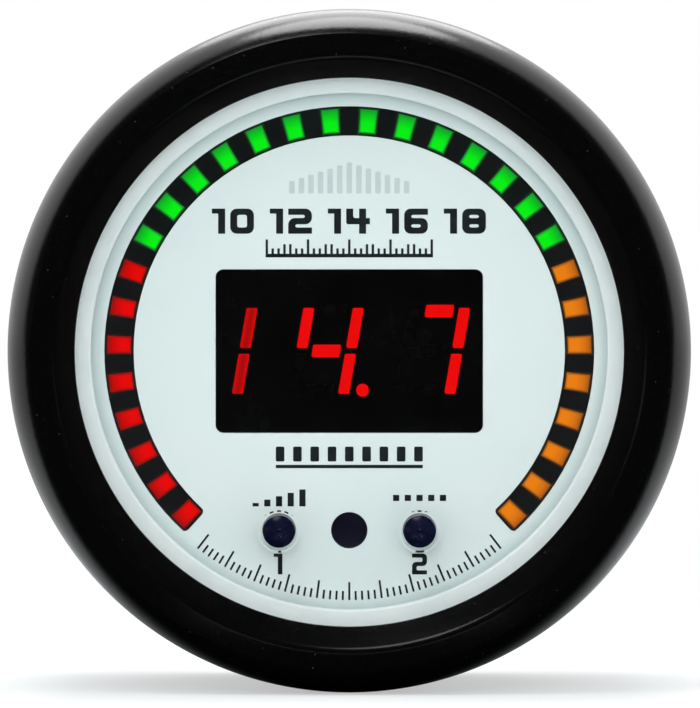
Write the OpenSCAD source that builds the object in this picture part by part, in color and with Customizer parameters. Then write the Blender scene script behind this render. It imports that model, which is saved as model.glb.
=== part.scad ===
// Round dash gauge for air fuel ratio: black bezel, white dial, arc of lights, red digits, two buttons.
// Each piece is drawn with the dial towards +Z and z = 0 at the panel, then stood up to face -Y.

/* [Case] */
// Diameter of the land that fills the panel hole
case_d = 52; // [51:0.5:58]
// Depth of the case behind the panel
case_depth = 29.5; // [28.5:0.5:38]
// Side wall of the case
case_wall = 1.8; // [1.4:0.1:2.2]
// Back wall of the case
back_wall = 2; // [1.5:0.1:3]
// Length of the land in the panel hole
land_len = 6; // [4:0.5:10]
// Step from the land down to the barrel
land_step = 0.25; // [0.1:0.05:0.5]
// Draft of the barrel, in radius from front to back
case_draft = 0.5; // [0.2:0.1:0.8]
// Width of the flange that the panel meets
flange_w = 1; // [0.6:0.1:1.4]
// Thickness of that flange
flange_t = 1.5; // [1:0.1:1.8]

/* [Bezel] */
// How far the bezel stands out past the case, in radius
bezel_overhang = 2.6; // [2.2:0.1:4]
// Height of the bezel in front of the panel
bezel_h = 7.4; // [6.6:0.1:9]
// Width of the bezel ring, in radius
bezel_ring_w = 5.68; // [5.2:0.1:7]
// Width of the inner cone
bezel_cone_w = 1.9; // [1.2:0.1:2.4]
// Width of the front face
bezel_face_w = 1.7; // [1.2:0.1:2.4]
// Fall of the front face from its crest to the shoulder
bezel_face_fall = 0.3; // [0.1:0.1:0.8]
// How far the round shoulder falls back to the bezel's side
shoulder_h = 5; // [2:0.1:5.4]
// Upright edge round the opening
bezel_edge_h = 0.5; // [0.3:0.1:1]

/* [Lens and dial] */
// Thickness of the clear lens
lens_t = 1.5; // [1:0.1:2]
// Thickness of the gasket on the lens
gasket_t = 0.3; // [0.2:0.1:0.5]
// Width of that gasket
gasket_w = 1.8; // [1:0.1:2.2]
// Height of the white ring between the dial and the lens
spacer_h = 1.2; // [0.8:0.1:2]
// Width of the white ring that shows inside the bezel
spacer_show_w = 1.32; // [0.8:0.1:1.8]
// Thickness of the dial
dial_t = 1; // [0.6:0.1:1.4]
// Height of the dial's ledge in front of the panel
dial_seat_h = 0.9; // [0.6:0.1:1.2]
// Width of that ledge
ledge_w = 0.5; // [0.3:0.1:0.7]

/* [Light bar] */
// Dial that shows between the white ring and the light bar
bar_margin = 1.15; // [0.6:0.05:1.6]
// Width of the black light bar
bar_w = 2.36; // [2.3:0.02:2.8]
// Windows in the bar
window_count = 30; // [20:2:30]
// Windows in the red stretch, at the left
red_count = 8; // [4:1:10]
// Windows in the amber stretch, at the right
amber_count = 8; // [4:1:10]
// Angle from the first window to the last
bar_sweep = 270; // [240:2:276]
// Width of a window
window_w = 1.42; // [1.2:0.02:1.6]
// Length of a window, along the radius
window_l = 1.96; // [1.8:0.02:2]
// How far the bar's face lies below the dial's
bar_recess = 0.2; // [0:0.05:0.4]
// How much wider the bar is under the dial, each side
bar_skirt = 0.6; // [0.4:0.1:0.8]

/* [Display] */
// Width of the display, as a share of the case's diameter
display_w_share = 0.4305; // [0.4:0.0005:0.44]
// Height of the display, as a share of its width
display_h_share = 0.6126; // [0.56:0.0002:0.63]
// How far its face lies below the dial's
display_recess = 0.3; // [0.1:0.05:0.5]
// Distance from digit to digit, as a share of the display's width
digit_pitch_share = 0.3972; // [0.38:0.0002:0.4]
// Lean of the digits, in degrees
digit_lean = 9.8; // [0:0.2:12]
// Half the distance between a digit's upright strokes, as a share of the display's width
column_x_share = 0.0925; // [0.086:0.0001:0.098]
// Width of an upright stroke, as a share of the display's width
upright_w_share = 0.0413; // [0.034:0.0001:0.044]
// Length of an upright stroke, as a share of the display's height
upright_l_share = 0.2422; // [0.23:0.0002:0.27]
// Length of a level stroke, as a share of the display's width
level_l_share = 0.1045; // [0.09:0.0001:0.116]
// Thickness of a level stroke, as a share of the display's height
level_w_share = 0.0741; // [0.06:0.0001:0.088]
// Diameter of the decimal point, as a share of the display's height
point_d_share = 0.0762; // [0.06:0.0002:0.088]

/* [Buttons and sensor] */
// Diameter of a button
button_d = 2.7; // [2.2:0.1:3]
// How far a button stands out of the lens
button_proud = 0.7; // [0.5:0.1:1.2]
// Travel of a button
button_travel = 0.25; // [0.2:0.05:0.3]
// Distance of each button from the centre line, as a share of the case's diameter
button_x_share = 0.11308; // [0.11:0.00002:0.126]
// Distance of the buttons and the sensor below the centre, as a share of the case's diameter
button_y_share = 0.28846; // [0.278:0.00002:0.296]
// Diameter of the lens hole round a button
lens_hole_d = 3.26; // [3.2:0.02:4]
// Diameter of the light sensor's hole
sensor_hole_d = 3.06; // [2.6:0.02:3.2]
// Height of a push switch
switch_h = 3.5; // [3.2:0.1:4]
// Side of a push switch
switch_w = 6; // [5.6:0.1:6.2]

/* [Circuit boards] */
// Thickness of a board
board_t = 1.6; // [1:0.1:2]
// Room between the dial and the front board
board_drop = 5.9; // [5.4:0.1:6.4]
// Room between the two boards
board_gap = 11; // [10:0.5:12]
// Thread diameter of the board fixings
board_thread_d = 2; // [1.6:0.1:2.4]
// Width across the flats of a board spacer
board_spacer_af = 4; // [3.6:0.1:4.2]
// Height of the tall capacitors
capacitor_h = 8; // [5:0.5:9]
// Diameter of the tall capacitors
capacitor_d = 8; // [6:0.5:8.5]

/* [Rear connector] */
// Side of the connector's shell
connector_w = 9.6; // [9:0.1:10.4]
// Wall of that shell
connector_wall = 0.9; // [0.7:0.1:1.1]
// Distance of the connector below the centre, as a share of the case's diameter
connector_y_share = 0.28846; // [0.278:0.00002:0.3]
// Distance from pin to pin
connector_pitch = 4.2; // [3.6:0.1:4.4]
// Side of a square pin
connector_pin_w = 1.07; // [0.8:0.01:1.2]

/* [Clamp] */
// Panel thickness that the clamp is drawn on
panel_t = 3; // [2.5:0.1:5]
// Room between the case and the clamp's bridge
clamp_gap = 3; // [2.5:0.1:3.8]
// Thickness of the clamp's strip
strip_t = 1.2; // [0.8:0.1:1.3]
// Width of the clamp's strip
strip_w = 16; // [12:0.5:17]
// Room between the case and the clamp's legs
leg_gap = 1.1; // [1:0.05:1.2]
// Thread diameter of the studs
stud_d = 4; // [3:0.5:5]
// Distance of each stud from the centre, as a share of the case's diameter
stud_x_share = 0.32692; // [0.308:0.00002:0.346]
// Free length of a stud behind the case
stud_len = 14.5; // [13.5:0.5:20]
// Thickness of a nut
nut_t = 3.2; // [2.4:0.1:3.6]
// Thickness of a washer
washer_t = 0.8; // [0.5:0.1:1]

/* [Hidden] */
$fn = 96;

// Clearances shared by every piece
run_gap = 0.05;
fit_gap = 0.05;
seat_gap = 0.1;
cut = 1;

// Flat strips in a rounded corner, and the corners of a rectangle in turn
arc_steps = 7;
corners = [[-1, -1], [1, -1], [1, 1], [-1, 1]];

// Radii, from the case outwards and inwards
case_r = case_d / 2;
barrel_r = case_r - land_step;
back_r = barrel_r - case_draft;
case_chamfer = 0.8;
bore_r = case_r - case_wall;
back_bore_r = back_r - case_wall;
flange_r = case_r + flange_w;
rim_step = 0.1;
rim_r = case_r - rim_step;
seat_r = bore_r + ledge_w;
bezel_r = case_r + bezel_overhang;
opening_r = bezel_r - bezel_ring_w;
crest_r = opening_r + bezel_cone_w;
shoulder_w = bezel_ring_w - bezel_cone_w - bezel_face_w;
bezel_bore_r = rim_r + fit_gap;
lens_edge_gap = 0.3;
board_edge_share = 0.8;
lens_r = bezel_bore_r - lens_edge_gap;
dial_r = seat_r - seat_gap;
spacer_r = opening_r - spacer_show_w;
bar_out_r = spacer_r - bar_margin;
bar_in_r = bar_out_r - bar_w;
bar_mid_r = (bar_out_r + bar_in_r) / 2;

// Heights, from the panel forwards and backwards
dial_z = dial_seat_h + dial_t;
lens_z = dial_z + spacer_h;
lens_top_z = lens_z + lens_t;
lip_z = lens_top_z + gasket_t;
front_board_z = dial_seat_h - board_drop;
front_board_back_z = front_board_z - board_t;
power_board_z = front_board_back_z - board_gap;
power_board_back_z = power_board_z - board_t;
floor_z = back_wall - case_depth;

// Snap bead between the case and the bezel
bead_h = 0.3;
bead_w = 0.12;
bead_z = (flange_t + lens_z) / 2;

// Bezel edges, and the quarter ellipse of its shoulder, which leaves the face without a kink
bezel_back_chamfer = 0.3;
face_slope = bezel_face_fall / bezel_face_w;
shoulder_steps = 10;
shoulder_from = atan(face_slope * shoulder_w / shoulder_h);
shoulder_inner_r = bezel_r - shoulder_w;
shoulder_start_r = shoulder_inner_r + shoulder_w * sin(shoulder_from);
shoulder_start_z = bezel_h - face_slope * (shoulder_start_r - crest_r);
shoulder_z = shoulder_start_z - shoulder_h * cos(shoulder_from);
crest_round = 0.35;
edge_round = 0.2;
flange_round = 0.2;
spacer_round = 0.25;

// Light bar
bar_end_r = 0.5;
bar_end_over = 0.06;
bar_end_margin = 0.25;
bar_shadow_gap = 0.05;
window_t = 1.4;
window_fit = 0.02;
window_step = bar_sweep / (window_count - 1);
bar_half_angle = bar_sweep / 2 + (window_w / 2 + bar_end_margin) * 180 / (PI * bar_mid_r);
bar_z = dial_z - bar_recess;
lamp_w = 0.8;
lamp_l = 1.6;
lamp_t = 0.6;

// Display, and the places of its strokes
display_w = display_w_share * case_d;
display_h = display_h_share * display_w;
display_corner = 0.67;
display_gap = 0.05;
display_z = dial_z - display_recess;
digit_pitch = digit_pitch_share * display_w;
digit_offset_share = -0.0861;
digit_offset = digit_offset_share * display_w;
column_x = column_x_share * display_w;
column_y_share = 0.1401;
column_y = column_y_share * display_h;
level_y_share = 0.2434;
level_y = level_y_share * display_h;
upright_w = upright_w_share * display_w;
upright_l = upright_l_share * display_h;
level_l = level_l_share * display_w;
level_w = level_w_share * display_h;
stroke_round = 0.16;
stroke_t = 1.2;
stroke_z = display_z - stroke_t;
stroke_fit = 0.03;
point_d = point_d_share * display_h;
point_x_share = 0.1357;
point_x = point_x_share * display_w;
point_y_share = 0.2397;
point_y = point_y_share * display_h;
// Strokes of each digit by their usual letters, and those that are lit
digit_strokes = ["bc", "abcdefg", "abcdefg"];
digit_lit = ["bc", "bcfg", "abc"];

// Buttons and their switches
button_r = button_d / 2;
button_x = button_x_share * case_d;
button_y = button_y_share * case_d;
button_top_z = lens_top_z + button_proud;
button_dome_h = 0.45;
button_dimple_r = 0.18;
collar_r_share = 1.36;
collar_r = collar_r_share * button_r;
button_collar_t = 0.5;
button_foot_r = 0.6;
switch_lid_t = 0.6;
switch_base_t = 0.8;
switch_corner = 0.6;
switch_top_z = front_board_z + switch_h;
switch_floor_z = front_board_z + switch_base_t;
collar_top_z = switch_top_z - switch_lid_t - run_gap;
snap_r = 1.5;
snap_h = 0.5;
snap_t = 0.12;
snap_top_z = switch_floor_z + snap_h + snap_t;
foot_z = snap_top_z + button_travel + run_gap;
lens_hole_r = lens_hole_d / 2;
lens_hole_chamfer = 0.15;

// Light sensor
sensor_r = sensor_hole_d / 2 - fit_gap;
sensor_base_w = 0.42;
sensor_base_t = 1;
sensor_round = 0.15;

// Board fixings, four round the boards, clear of the display and the switches
thread_r = board_thread_d / 2;
screw_head_r_share = 0.9;
screw_head_t_share = 0.65;
screw_slot_share = 0.2;
screw_len_share = 3;
spacer_tip_share = 1.5;
screw_head_r = screw_head_r_share * board_thread_d;
screw_slot_w = screw_slot_share * board_thread_d;
screw_slot_t = screw_head_t_share * board_thread_d / 2;
screw_top_z = front_board_z + screw_head_t_share * board_thread_d;
screw_tip_z = front_board_z - screw_len_share * board_thread_d;
spacer_tip_z = power_board_back_z - spacer_tip_share * board_thread_d;
fixing_gap = 0.4;
fixing_r = bar_in_r - bar_skirt - screw_head_r - fixing_gap;
fixing_angles = [45, 134, 226, 315];
post_wall = 1.3;
gusset_t = 1;
gusset_w = 2.5;
gusset_angles = [60, 180, 300];
board_hole_gap = 0.15;
front_board_r = bore_r - board_edge_share * case_draft;
power_board_r = back_bore_r - case_draft;

// Header between the boards
header_pitch = 2.54;
header_rows = 2;
header_columns = 5;
header_pin_w = 0.64;
header_w = header_rows * header_pitch;
header_l = header_columns * header_pitch;
header_base_t = 2.5;
header_z = power_board_z + header_base_t;
header_tail = 1;
header_reach = 5;

// Rear connector
connector_y = connector_y_share * case_d;
connector_gap = 0.15;
connector_floor_t = 2;
connector_proud = 1;
connector_pin_drop = 2.5;
connector_tail = 1.5;
connector_end_z = -case_depth - connector_proud;
polar_w = 1.2;
collar_wall = 1.2;
collar_h = 0.8;

// Parts on the power board
part_gap = 0.6;
processor_w = 7;
processor_t = 1.2;
lead_w = 0.3;
lead_l = 1;
lead_t = 0.2;
lead_pitch = 0.8;
leads_a_side = 8;
processor_y = header_w / 2 + part_gap + lead_l + processor_w / 2;
regulator_w = 6.5;
regulator_l = 3.5;
regulator_t = 1.6;
regulator_y = (header_w / 2 + connector_y - (connector_pitch + connector_pin_w) / 2) / 2;
tab_w = 3;
tab_l = 1.5;
regulator_lead_w = 0.7;
regulator_lead_pitch = 2.3;
capacitor_x_share = 0.24;
capacitor_x = capacitor_x_share * case_d;
capacitor_groove_z = 1.3;
capacitor_groove = 0.4;

// Studs, clamp, washers and nuts
stud_x = stud_x_share * case_d;
stud_r = stud_d / 2;
stud_chamfer = 0.4;
head_r_share = 1.01;
head_t_share = 0.7;
pad_r_share = 1.3;
head_r = head_r_share * stud_d;
head_t = head_t_share * stud_d;
pocket_wall = 1.2;
pocket_gap = 0.15;
pad_r = pad_r_share * stud_d;
pad_t = 0.4;
stud_end_z = -case_depth - stud_len;
leg_r = case_r + leg_gap;
leg_out_r = leg_r + strip_t;
bend_r = 1;
bridge_z = -case_depth - clamp_gap;
bridge_back_z = bridge_z - strip_t;
strip_hole_gap = 0.25;
bead_rib_w = 1.6;
bead_rib_h = 0.6;
bead_rib_y_share = 0.3;
bead_rib_x_share = 0.42;
washer_r_share = 1.125;
nut_af_share = 1.75;
washer_r = washer_r_share * stud_d;
washer_gap = 0.15;
nut_af = nut_af_share * stud_d;
nut_chamfer = 0.35;
washer_back_z = bridge_back_z - washer_t;
nut_back_z = washer_back_z - nut_t;

// Stands a piece up, dial towards -Y and twelve o'clock towards +Z
module upright() {
    rotate([90, 0, 0]) children();
}

// Repeats a piece at each board fixing
module at_fixings() {
    for (a = fixing_angles)
        rotate([0, 0, 90 - a]) translate([fixing_r, 0, 0]) children();
}

// Repeats a piece at each stud
module at_studs() {
    for (side = [-1, 1])
        translate([side * stud_x, 0, 0]) children();
}

// Ring between two radii and two heights
module ring(inner, outer, low, high) {
    difference() {
        rod(outer, low, high);
        rod(inner, low - cut, high + cut);
    }
}

// Block centred on x and y, between two heights
module block(w, l, low, high) {
    translate([-w / 2, -l / 2, low]) cube([w, l, high - low]);
}

// Round rod between two heights
module rod(r, low, high) {
    translate([0, 0, low]) cylinder(r = r, h = high - low);
}

// Outline drawn out between two heights
module slab(low, high) {
    translate([0, 0, low]) linear_extrude(high - low) children();
}

// Hexagon prism of a width across its flats
module hex_prism(af, low, high) {
    rod(af / sqrt(3), low, high, $fn = 6);
}

// Rectangle with round corners, all arcs true
module round_rect(w, h, r) {
    square([w - 2 * r, h], center = true);
    square([w, h - 2 * r], center = true);
    for (x = [-1, 1], y = [-1, 1])
        translate([x * (w / 2 - r), y * (h / 2 - r)]) circle(r);
}

// Outline through points [x, y, r], each corner rounded by its own r
function unit(v) = v / norm(v);
function corner(a, b, c, r) =
    r == 0 ? [b] :
    let (
        u = unit(a - b),
        w = unit(c - b),
        half = acos(u * w) / 2,
        centre = b + unit(u + w) * r / sin(half),
        start = b + u * r / tan(half) - centre,
        from = atan2(start.y, start.x),
        turn = -sign(cross(u, w)) * (180 - 2 * half)
    )
    [for (i = [0:arc_steps]) let (a = from + turn * i / arc_steps) centre + r * [cos(a), sin(a)]];
function flat(p) = [p.x, p.y];
function rounded(points) =
    let (n = len(points))
    [for (i = [0:n - 1]) each corner(flat(points[(i + n - 1) % n]), flat(points[i]),
        flat(points[(i + 1) % n]), points[i][2])];

module bezel() {
    color("#0b0c0c") upright() rotate_extrude() polygon(rounded([
        [flange_r + fit_gap, 0, 0],
        [bezel_r, 0, bezel_back_chamfer],
        for (i = [0:shoulder_steps])
            let (a = shoulder_from + (90 - shoulder_from) * (1 - i / shoulder_steps))
            [shoulder_inner_r + shoulder_w * sin(a), shoulder_z + shoulder_h * cos(a), 0],
        [crest_r, bezel_h, crest_round],
        [opening_r, lip_z + bezel_edge_h, edge_round],
        [opening_r, lip_z, 0],
        [bezel_bore_r, lip_z, 0],
        [bezel_bore_r, bead_z + bead_h, 0],
        [bezel_bore_r + bead_w, bead_z, 0],
        [bezel_bore_r, bead_z - bead_h, 0],
        [bezel_bore_r, flange_t + fit_gap, 0],
        [flange_r + fit_gap, flange_t + fit_gap, 0]
    ]));
}

module lens() {
    color("#e8f4f8", 0.3) upright() difference() {
        rod(lens_r, lens_z, lens_top_z);
        for (side = [-1, 1])
            translate([side * button_x, -button_y, 0]) {
                rod(lens_hole_r, lens_z - cut, lens_top_z + cut);
                translate([0, 0, lens_top_z - lens_hole_chamfer]) cylinder(r1 = lens_hole_r,
                    r2 = lens_hole_r + 2 * lens_hole_chamfer, h = 2 * lens_hole_chamfer);
            }
    }
}

module lens_gasket() {
    color("#222222") upright() ring(lens_r - gasket_w, lens_r, lens_top_z, lip_z);
}

module spacer_ring() {
    color("#d8e6e6") upright() rotate_extrude() polygon(rounded([
        [spacer_r, dial_z, 0],
        [dial_r, dial_z, 0],
        [dial_r, lens_z, 0],
        [spacer_r, lens_z, spacer_round]
    ]));
}

// Outline of the light bar: an arc band with round corners, grown by a margin
module bar_outline(grow) {
    inner = bar_in_r - grow;
    outer = bar_out_r + grow;
    half = bar_half_angle + grow * 180 / (PI * bar_mid_r);
    far = 2 * outer;
    outward = [sin(half), cos(half)];
    along = [-cos(half), sin(half)];
    right = [
        [each (inner - bar_end_over) * outward + 2 * bar_end_r * along, 0],
        [each (inner - bar_end_over) * outward, bar_end_r],
        [each (outer + bar_end_over) * outward, bar_end_r],
        [each (outer + bar_end_over) * outward + far * along, 0],
        [far, far, 0]
    ];
    left = [for (i = [len(right) - 1:-1:0]) let (p = right[i]) [-p.x, p.y, p.z]];
    intersection() {
        difference() {
            circle(outer);
            circle(inner);
        }
        polygon(rounded(concat(right, left)));
    }
}

// Repeats a piece at the windows from first to last, counted clockwise from the left
module at_windows(first, last) {
    for (i = [first:last])
        rotate(bar_sweep / 2 - i * window_step) translate([0, bar_mid_r]) children();
}

module dial() {
    color("#dfecea") upright() slab(dial_seat_h, dial_z) difference() {
        circle(dial_r);
        bar_outline(bar_shadow_gap);
        round_rect(display_w, display_h, display_corner);
        for (side = [-1, 1])
            translate([side * button_x, -button_y]) circle(button_r + run_gap);
        translate([0, -button_y]) circle(d = sensor_hole_d);
    }
}

module light_bar() {
    color("#0d1211") upright() difference() {
        union() {
            slab(front_board_z, bar_z) bar_outline(0);
            slab(front_board_z, dial_seat_h - seat_gap) bar_outline(bar_skirt);
        }
        slab(front_board_z - cut, bar_z + cut) at_windows(0, window_count - 1)
            square([window_w, window_l], center = true);
    }
}

// Window panes of one colour, seated in the bar
module panes(first, last) {
    upright() slab(bar_z - window_t, bar_z) at_windows(first, last)
        square([window_w - 2 * window_fit, window_l - 2 * window_fit], center = true);
}

module red_windows() {
    color("#f10400") panes(0, red_count - 1);
}

module green_windows() {
    color("#06f81a") panes(red_count, window_count - amber_count - 1);
}

module amber_windows() {
    color("#f18312") panes(window_count - amber_count, window_count - 1);
}

module bar_lamps() {
    color("#e6e2c8") upright() slab(front_board_z, front_board_z + lamp_t)
        at_windows(0, window_count - 1) square([lamp_w, lamp_l], center = true);
}

// Middle of a stroke by its letter, before the digit leans
function stroke_x(s) = s == "b" || s == "c" ? column_x : s == "e" || s == "f" ? -column_x : 0;
function stroke_y(s) = s == "b" || s == "f" ? column_y : s == "c" || s == "e" ? -column_y :
    s == "a" ? level_y : s == "d" ? -level_y : 0;
function stands(s) = len(search(s, "bcef")) > 0;
function leaned(x, y) = [x + y * tan(digit_lean), y];

// One stroke of a digit, grown by a margin
module stroke(s, grow) {
    half_w = (stands(s) ? upright_w : level_l) / 2 + grow;
    half_h = (stands(s) ? upright_l : level_w) / 2 + grow;
    polygon(rounded([
        for (q = corners)
            let (p = leaned(stroke_x(s) + q.x * half_w, stroke_y(s) + q.y * half_h))
            [p.x, p.y, stroke_round]
    ]));
}

// Lit or dark strokes of the whole reading
module strokes(lit, grow) {
    for (i = [0:len(digit_strokes) - 1])
        translate([digit_offset + (i - 1) * digit_pitch, 0])
            for (s = digit_strokes[i])
                if ((len(search(s, digit_lit[i])) > 0) == lit) stroke(s, grow);
    if (lit)
        translate([digit_offset + point_x, -point_y]) circle(point_d / 2 + grow);
}

// Outline of the display's face
module display_face() {
    round_rect(display_w - 2 * display_gap, display_h - 2 * display_gap, display_corner - display_gap);
}

module display_housing() {
    color("#050505") upright() {
        slab(front_board_z, stroke_z) display_face();
        slab(stroke_z, display_z) difference() {
            display_face();
            strokes(true, stroke_fit);
            strokes(false, stroke_fit);
        }
    }
}

module lit_strokes() {
    color("#f50000") upright() slab(stroke_z, display_z) strokes(true, 0);
}

module dark_strokes() {
    color("#160404") upright() slab(stroke_z, display_z) strokes(false, 0);
}

module light_sensor() {
    color("#0a091c") upright() translate([0, -button_y, 0]) rotate_extrude() polygon(rounded([
        [0, front_board_z, 0],
        [sensor_r + sensor_base_w, front_board_z, 0],
        [sensor_r + sensor_base_w, front_board_z + sensor_base_t, 0],
        [sensor_r, front_board_z + sensor_base_t, 0],
        [sensor_r, display_z, sensor_round],
        [0, display_z, 0]
    ]));
}

// Push switch: base, hollow for the collar, lid with the guide hole
module push_switch(side) {
    upright() translate([side * button_x, -button_y, 0]) difference() {
        slab(front_board_z, switch_top_z) polygon(rounded([
            for (q = corners) [q.x * switch_w / 2, q.y * switch_w / 2, switch_corner]
        ]));
        rod(collar_r + seat_gap, switch_floor_z, switch_top_z - switch_lid_t);
        rod(button_r + run_gap, switch_floor_z, switch_top_z + cut);
    }
}

module left_switch() {
    color("#2a2a2c") push_switch(-1);
}

module right_switch() {
    color("#2a2a2c") push_switch(1);
}

// Button: domed head, long stem, collar under the lid and foot over the snap dome
module button(side) {
    dome_r = (button_r * button_r + button_dome_h * button_dome_h) / (2 * button_dome_h);
    dome_z = button_top_z - button_dome_h;
    collar_z = collar_top_z - button_collar_t;
    upright() translate([side * button_x, -button_y, 0]) {
        difference() {
            union() {
                rod(button_r, collar_z, dome_z);
                intersection() {
                    translate([0, 0, button_top_z - dome_r]) sphere(dome_r);
                    rod(dome_r, dome_z, button_top_z + cut);
                }
            }
            translate([0, 0, button_top_z + button_dimple_r / 2]) sphere(button_dimple_r);
        }
        rod(collar_r, collar_z, collar_top_z);
        rod(button_foot_r, foot_z, collar_top_z);
    }
}

module left_button() {
    color("#15182a") button(-1);
}

module right_button() {
    color("#15182a") button(1);
}

module snap_domes() {
    dome_r = (snap_r * snap_r + snap_h * snap_h) / (2 * snap_h);
    color("#c8c8c8") upright() for (side = [-1, 1])
        translate([side * button_x, -button_y, switch_floor_z]) intersection() {
            translate([0, 0, snap_h - dome_r]) difference() {
                sphere(dome_r + snap_t);
                sphere(dome_r);
            }
            rod(snap_r, 0, snap_h + snap_t);
        }
}

module front_board() {
    color("#0f4d2e") upright() difference() {
        rod(front_board_r, front_board_back_z, front_board_z);
        at_fixings() rod(thread_r + board_hole_gap, front_board_back_z - cut, front_board_z + cut);
    }
}

module board_screws() {
    color("#b9bcc0") upright() at_fixings() {
        difference() {
            rod(screw_head_r, front_board_z, screw_top_z);
            block(screw_slot_w, 2 * screw_head_r + cut, screw_top_z - screw_slot_t, screw_top_z + cut);
        }
        rod(thread_r, screw_tip_z, front_board_z);
    }
}

module board_spacers() {
    color("#c9a349") upright() at_fixings() {
        difference() {
            hex_prism(board_spacer_af, power_board_z, front_board_back_z);
            rod(thread_r + fit_gap, screw_tip_z - seat_gap, front_board_z);
        }
        rod(thread_r, spacer_tip_z, power_board_z);
    }
}

// Places of the header's pins
module at_header_pins() {
    for (i = [0:header_columns - 1], j = [0:header_rows - 1])
        translate([i - (header_columns - 1) / 2, j - (header_rows - 1) / 2, 0] * header_pitch) children();
}

module header_socket() {
    hole_w = header_pin_w + 2 * fit_gap;
    color("#18181a") upright() difference() {
        block(header_l, header_w, header_z, front_board_back_z);
        at_header_pins() block(hole_w, hole_w, header_z - cut, header_z + header_reach + seat_gap);
    }
}

module header_base() {
    color("#18181a") upright() difference() {
        block(header_l, header_w, power_board_z, header_z);
        at_header_pins() block(header_pin_w, header_pin_w, power_board_z - cut, header_z + cut);
    }
}

module header_pins() {
    color("#d2b25a") upright() at_header_pins()
        block(header_pin_w, header_pin_w, power_board_back_z - header_tail, header_z + header_reach);
}

module power_board() {
    color("#0f4d2e") upright() difference() {
        rod(power_board_r, power_board_back_z, power_board_z);
        at_fixings() rod(thread_r + board_hole_gap, power_board_back_z - cut, power_board_z + cut);
        at_header_pins() block(header_pin_w + 2 * fit_gap, header_pin_w + 2 * fit_gap,
            power_board_back_z - cut, power_board_z + cut);
        translate([0, -connector_y, 0]) at_connector_pins()
            block(connector_pin_w + 2 * fit_gap, connector_pin_w + 2 * fit_gap,
                power_board_back_z - cut, power_board_z + cut);
    }
}

module processor() {
    color("#1a1a1c") upright() translate([0, processor_y, 0]) {
        block(processor_w, processor_w, power_board_z, power_board_z + processor_t);
        for (a = [0:90:270], i = [0:leads_a_side - 1])
            rotate(a) translate([(i - (leads_a_side - 1) / 2) * lead_pitch, (processor_w + lead_l) / 2, 0])
                block(lead_w, lead_l, power_board_z, power_board_z + lead_t);
    }
}

module regulator() {
    color("#1a1a1c") upright() translate([0, -regulator_y, 0]) {
        block(regulator_w, regulator_l, power_board_z, power_board_z + regulator_t);
        translate([0, (regulator_l + tab_l) / 2, 0])
            block(tab_w, tab_l, power_board_z, power_board_z + lead_t);
        for (i = [-1:1])
            translate([i * regulator_lead_pitch, -(regulator_l + tab_l) / 2, 0])
                block(regulator_lead_w, tab_l, power_board_z, power_board_z + lead_t);
    }
}

module capacitors() {
    color("#2b3a66") upright() for (side = [-1, 1])
        translate([side * capacitor_x, 0, power_board_z]) rotate_extrude() polygon([
            [0, 0],
            [capacitor_d / 2, 0],
            [capacitor_d / 2, capacitor_groove_z],
            [capacitor_d / 2 - capacitor_groove, capacitor_groove_z + capacitor_groove],
            [capacitor_d / 2, capacitor_groove_z + 2 * capacitor_groove],
            [capacitor_d / 2, capacitor_h - capacitor_groove],
            [capacitor_d / 2 - capacitor_groove, capacitor_h],
            [0, capacitor_h]
        ]);
}

// Places of the rear connector's pins
module at_connector_pins() {
    for (x = [-1, 1], y = [-1, 1])
        translate([x * connector_pitch / 2, y * connector_pitch / 2, 0]) children();
}

module rear_connector() {
    inner = connector_w - 2 * connector_wall;
    color("#ece8dc") upright() translate([0, -connector_y, 0]) {
        difference() {
            block(connector_w, connector_w, connector_end_z, power_board_back_z);
            block(inner, inner, connector_end_z - cut, power_board_back_z - connector_floor_t);
            at_connector_pins() block(connector_pin_w, connector_pin_w,
                power_board_back_z - connector_floor_t - cut, power_board_back_z + cut);
        }
        translate([0, (polar_w - inner) / 2, 0])
            block(polar_w, polar_w, connector_end_z + polar_w, power_board_back_z - connector_floor_t);
    }
}

module connector_pins() {
    color("#d2b25a") upright() translate([0, -connector_y, 0]) at_connector_pins()
        block(connector_pin_w, connector_pin_w, connector_end_z + connector_pin_drop,
            power_board_z + connector_tail);
}

// Post that carries a board spacer, with three gussets on the case floor
module post() {
    post_r = thread_r + post_wall;
    root_z = floor_z - back_wall / 2;
    gusset_z = (floor_z + power_board_back_z) / 2;
    rod(post_r, root_z, power_board_back_z);
    for (a = gusset_angles)
        rotate([90, 0, a]) slab(-gusset_t / 2, gusset_t / 2) polygon([
            [0, root_z],
            [post_r + gusset_w, root_z],
            [post_r + gusset_w, floor_z],
            [post_r, gusset_z],
            [0, gusset_z]
        ]);
}

module case_shell() {
    rotate_extrude() polygon([
        [0, -case_depth],
        [back_r - case_chamfer, -case_depth],
        [back_r, case_chamfer - case_depth],
        [barrel_r, -land_len - land_step],
        [case_r, -land_len],
        [case_r, 0],
        [flange_r - flange_round, 0],
        [flange_r, flange_round],
        [flange_r, flange_t],
        [rim_r, flange_t],
        [rim_r, bead_z - bead_h],
        [rim_r + bead_w, bead_z],
        [rim_r, bead_z + bead_h],
        [rim_r, lens_z],
        [seat_r, lens_z],
        [seat_r, dial_seat_h],
        [bore_r, dial_seat_h],
        [back_bore_r, floor_z],
        [0, floor_z]
    ]);
}

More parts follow.
